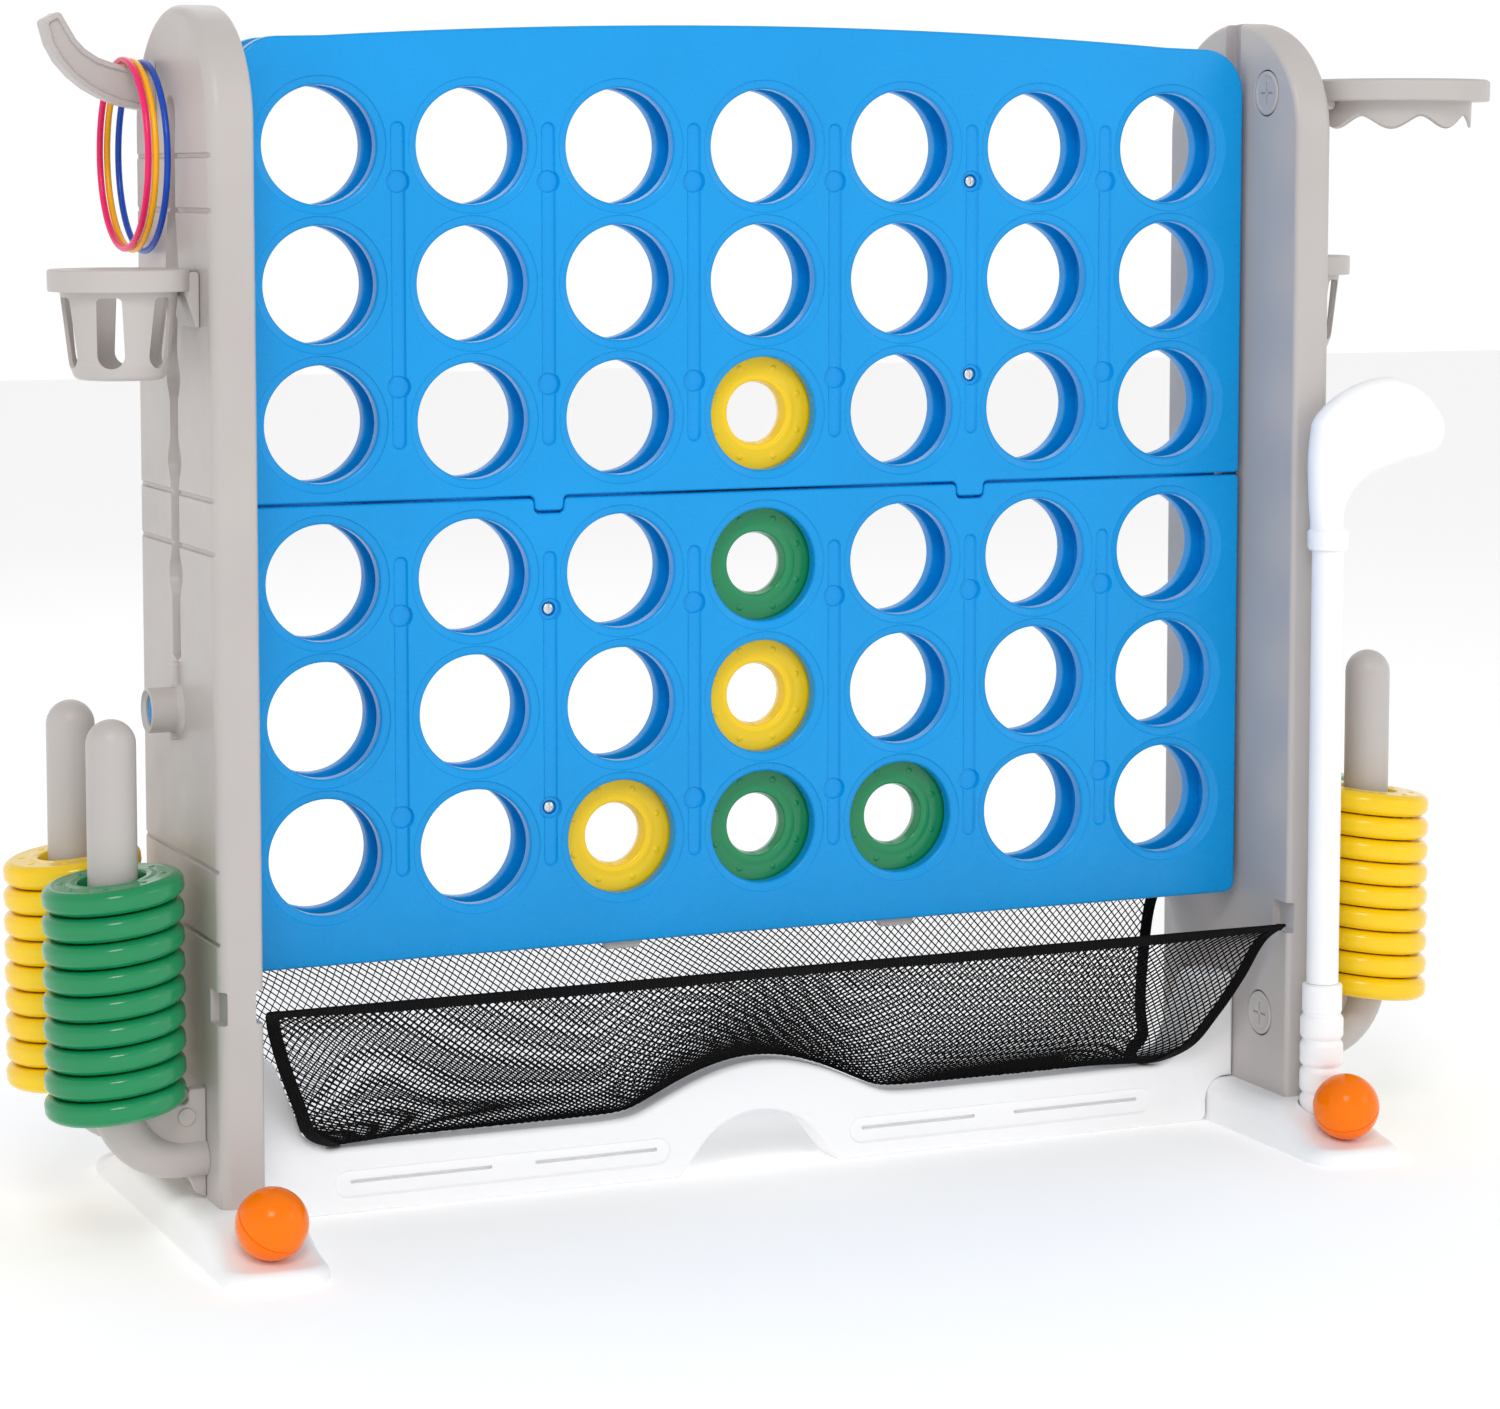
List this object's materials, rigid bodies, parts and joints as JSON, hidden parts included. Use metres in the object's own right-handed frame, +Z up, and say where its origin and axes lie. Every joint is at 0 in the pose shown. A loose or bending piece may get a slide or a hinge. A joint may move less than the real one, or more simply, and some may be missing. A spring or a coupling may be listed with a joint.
{
  "type": "giant four in a row",
  "caption": "Standing lawn game: a slotted board for dropping rings, on end legs with ring pegs, cup holders, a hoop, a toss hook, a catch net, a goal rail, a stick and balls.",
  "frame": {"origin": "on the floor, under the middle of the overall box", "axes": "+X along the board towards the end with the hoop, +Y through the board away from the players, +Z up"},
  "size_m": [1.3692, 0.454, 1.026],
  "materials": {
    "board_blue": "moulded, satin gloss",
    "leg_grey": "moulded, fine texture",
    "white_plastic": "moulded, satin",
    "ring_yellow": "moulded, glossy",
    "ring_green": "moulded, glossy",
    "ball_orange": "glossy, moulded seam",
    "net_black": "knotless net with woven webbing edges",
    "screw_steel": "plated",
    "toss_pink": "moulded tube",
    "toss_amber": "moulded tube",
    "toss_blue": "moulded tube"
  },
  "bodies": {
    "frame": {"left_leg": "leg_grey", "right_leg": "leg_grey", "left_foot": "white_plastic", "right_foot": "white_plastic", "goal_rail": "white_plastic", "front_upper_panel": "board_blue", "front_lower_panel": "board_blue", "rear_upper_panel": "board_blue", "rear_lower_panel": "board_blue", "catch_net": "net_black", "toss_hook": "leg_grey", "hoop": "leg_grey", "left_cup_holder": "leg_grey", "right_cup_holder": "leg_grey", "left_front_peg": "leg_grey", "left_rear_peg": "leg_grey", "right_front_peg": "leg_grey", "right_rear_peg": "leg_grey", "front_upper_screw_1": "screw_steel", "front_upper_screw_2": "screw_steel", "front_lower_screw_1": "screw_steel", "front_lower_screw_2": "screw_steel", "rear_upper_screw_1": "screw_steel", "rear_upper_screw_2": "screw_steel", "rear_lower_screw_1": "screw_steel", "rear_lower_screw_2": "screw_steel", "left_upper_cap": "leg_grey", "left_rear_cap": "leg_grey", "left_front_cap": "leg_grey", "right_upper_cap": "leg_grey", "right_rear_cap": "leg_grey", "right_front_cap": "leg_grey", "left_boss_plug": "board_blue", "right_boss_plug": "board_blue"},
    "left_slider": {"left_release_slider": "leg_grey"},
    "right_slider": {"right_release_slider": "leg_grey"},
    "ring_3_6": {"board_ring_3_6": "ring_yellow"},
    "ring_4_6": {"board_ring_4_6": "ring_green"},
    "ring_4_5": {"board_ring_4_5": "ring_yellow"},
    "ring_4_4": {"board_ring_4_4": "ring_green"},
    "ring_4_3": {"board_ring_4_3": "ring_yellow"},
    "ring_5_6": {"board_ring_5_6": "ring_green"},
    "left_front_rings": {"left_front_ring_stack": "ring_green"},
    "left_rear_rings": {"left_rear_ring_stack": "ring_yellow"},
    "right_front_rings": {"right_front_ring_stack": "ring_yellow"},
    "right_rear_rings": {"right_rear_ring_stack": "ring_green"},
    "toss_blue": {"toss_ring_blue": "toss_blue"},
    "toss_amber": {"toss_ring_amber": "toss_amber"},
    "toss_pink": {"toss_ring_pink": "toss_pink"},
    "stick": {"stick_head": "white_plastic", "stick_shaft": "white_plastic", "stick_grip": "white_plastic"},
    "left_ball": {"left_ball": "ball_orange"},
    "right_ball": {"right_ball": "ball_orange"}
  },
  "joints": [
    {"name": "left_slider_pull", "type": "slide", "parent": "frame", "child": "left_slider", "axis": [-1, 0, 0], "range_m": [0, 0.0675]},
    {"name": "right_slider_pull", "type": "slide", "parent": "frame", "child": "right_slider", "axis": [1, 0, 0], "range_m": [0, 0.0675]},
    {"name": "ring_3_6_lift", "type": "slide", "parent": "frame", "child": "ring_3_6", "axis": [0, 0, 1], "range_m": [0, 0.773]},
    {"name": "ring_4_6_lift", "type": "slide", "parent": "frame", "child": "ring_4_6", "axis": [0, 0, 1], "range_m": [0, 0.773]},
    {"name": "ring_4_5_lift", "type": "slide", "parent": "ring_4_6", "child": "ring_4_5", "axis": [0, 0, 1], "range_m": [0, 0.656]},
    {"name": "ring_4_4_lift", "type": "slide", "parent": "ring_4_5", "child": "ring_4_4", "axis": [0, 0, 1], "range_m": [0, 0.54]},
    {"name": "ring_4_3_lift", "type": "slide", "parent": "ring_4_4", "child": "ring_4_3", "axis": [0, 0, 1], "range_m": [0, 0.41]},
    {"name": "ring_5_6_lift", "type": "slide", "parent": "frame", "child": "ring_5_6", "axis": [0, 0, 1], "range_m": [0, 0.773]},
    {"name": "left_front_rings_lift", "type": "slide", "parent": "frame", "child": "left_front_rings", "axis": [0, 0, 1], "range_m": [0, 0.33]},
    {"name": "left_rear_rings_lift", "type": "slide", "parent": "frame", "child": "left_rear_rings", "axis": [0, 0, 1], "range_m": [0, 0.33]},
    {"name": "right_front_rings_lift", "type": "slide", "parent": "frame", "child": "right_front_rings", "axis": [0, 0, 1], "range_m": [0, 0.33]},
    {"name": "right_rear_rings_lift", "type": "slide", "parent": "frame", "child": "right_rear_rings", "axis": [0, 0, 1], "range_m": [0, 0.33]},
    {"name": "toss_blue_lift", "type": "slide", "parent": "frame", "child": "toss_blue", "axis": [-0.7071, 0, 0.7071], "range_m": [0, 0.14]},
    {"name": "toss_amber_lift", "type": "slide", "parent": "toss_blue", "child": "toss_amber", "axis": [-0.7071, 0, 0.7071], "range_m": [0, 0.13]},
    {"name": "toss_pink_lift", "type": "slide", "parent": "toss_amber", "child": "toss_pink", "axis": [-0.7071, 0, 0.7071], "range_m": [0, 0.12]},
    {"name": "stick_lift", "type": "slide", "parent": "frame", "child": "stick", "axis": [0, 0, 1], "range_m": [0, 0.2]},
    {"name": "left_ball_lift", "type": "slide", "parent": "frame", "child": "left_ball", "axis": [0, 0, 1], "range_m": [0, 0.1]},
    {"name": "right_ball_lift", "type": "slide", "parent": "frame", "child": "right_ball", "axis": [0, 0, 1], "range_m": [0, 0.1]}
  ]
}
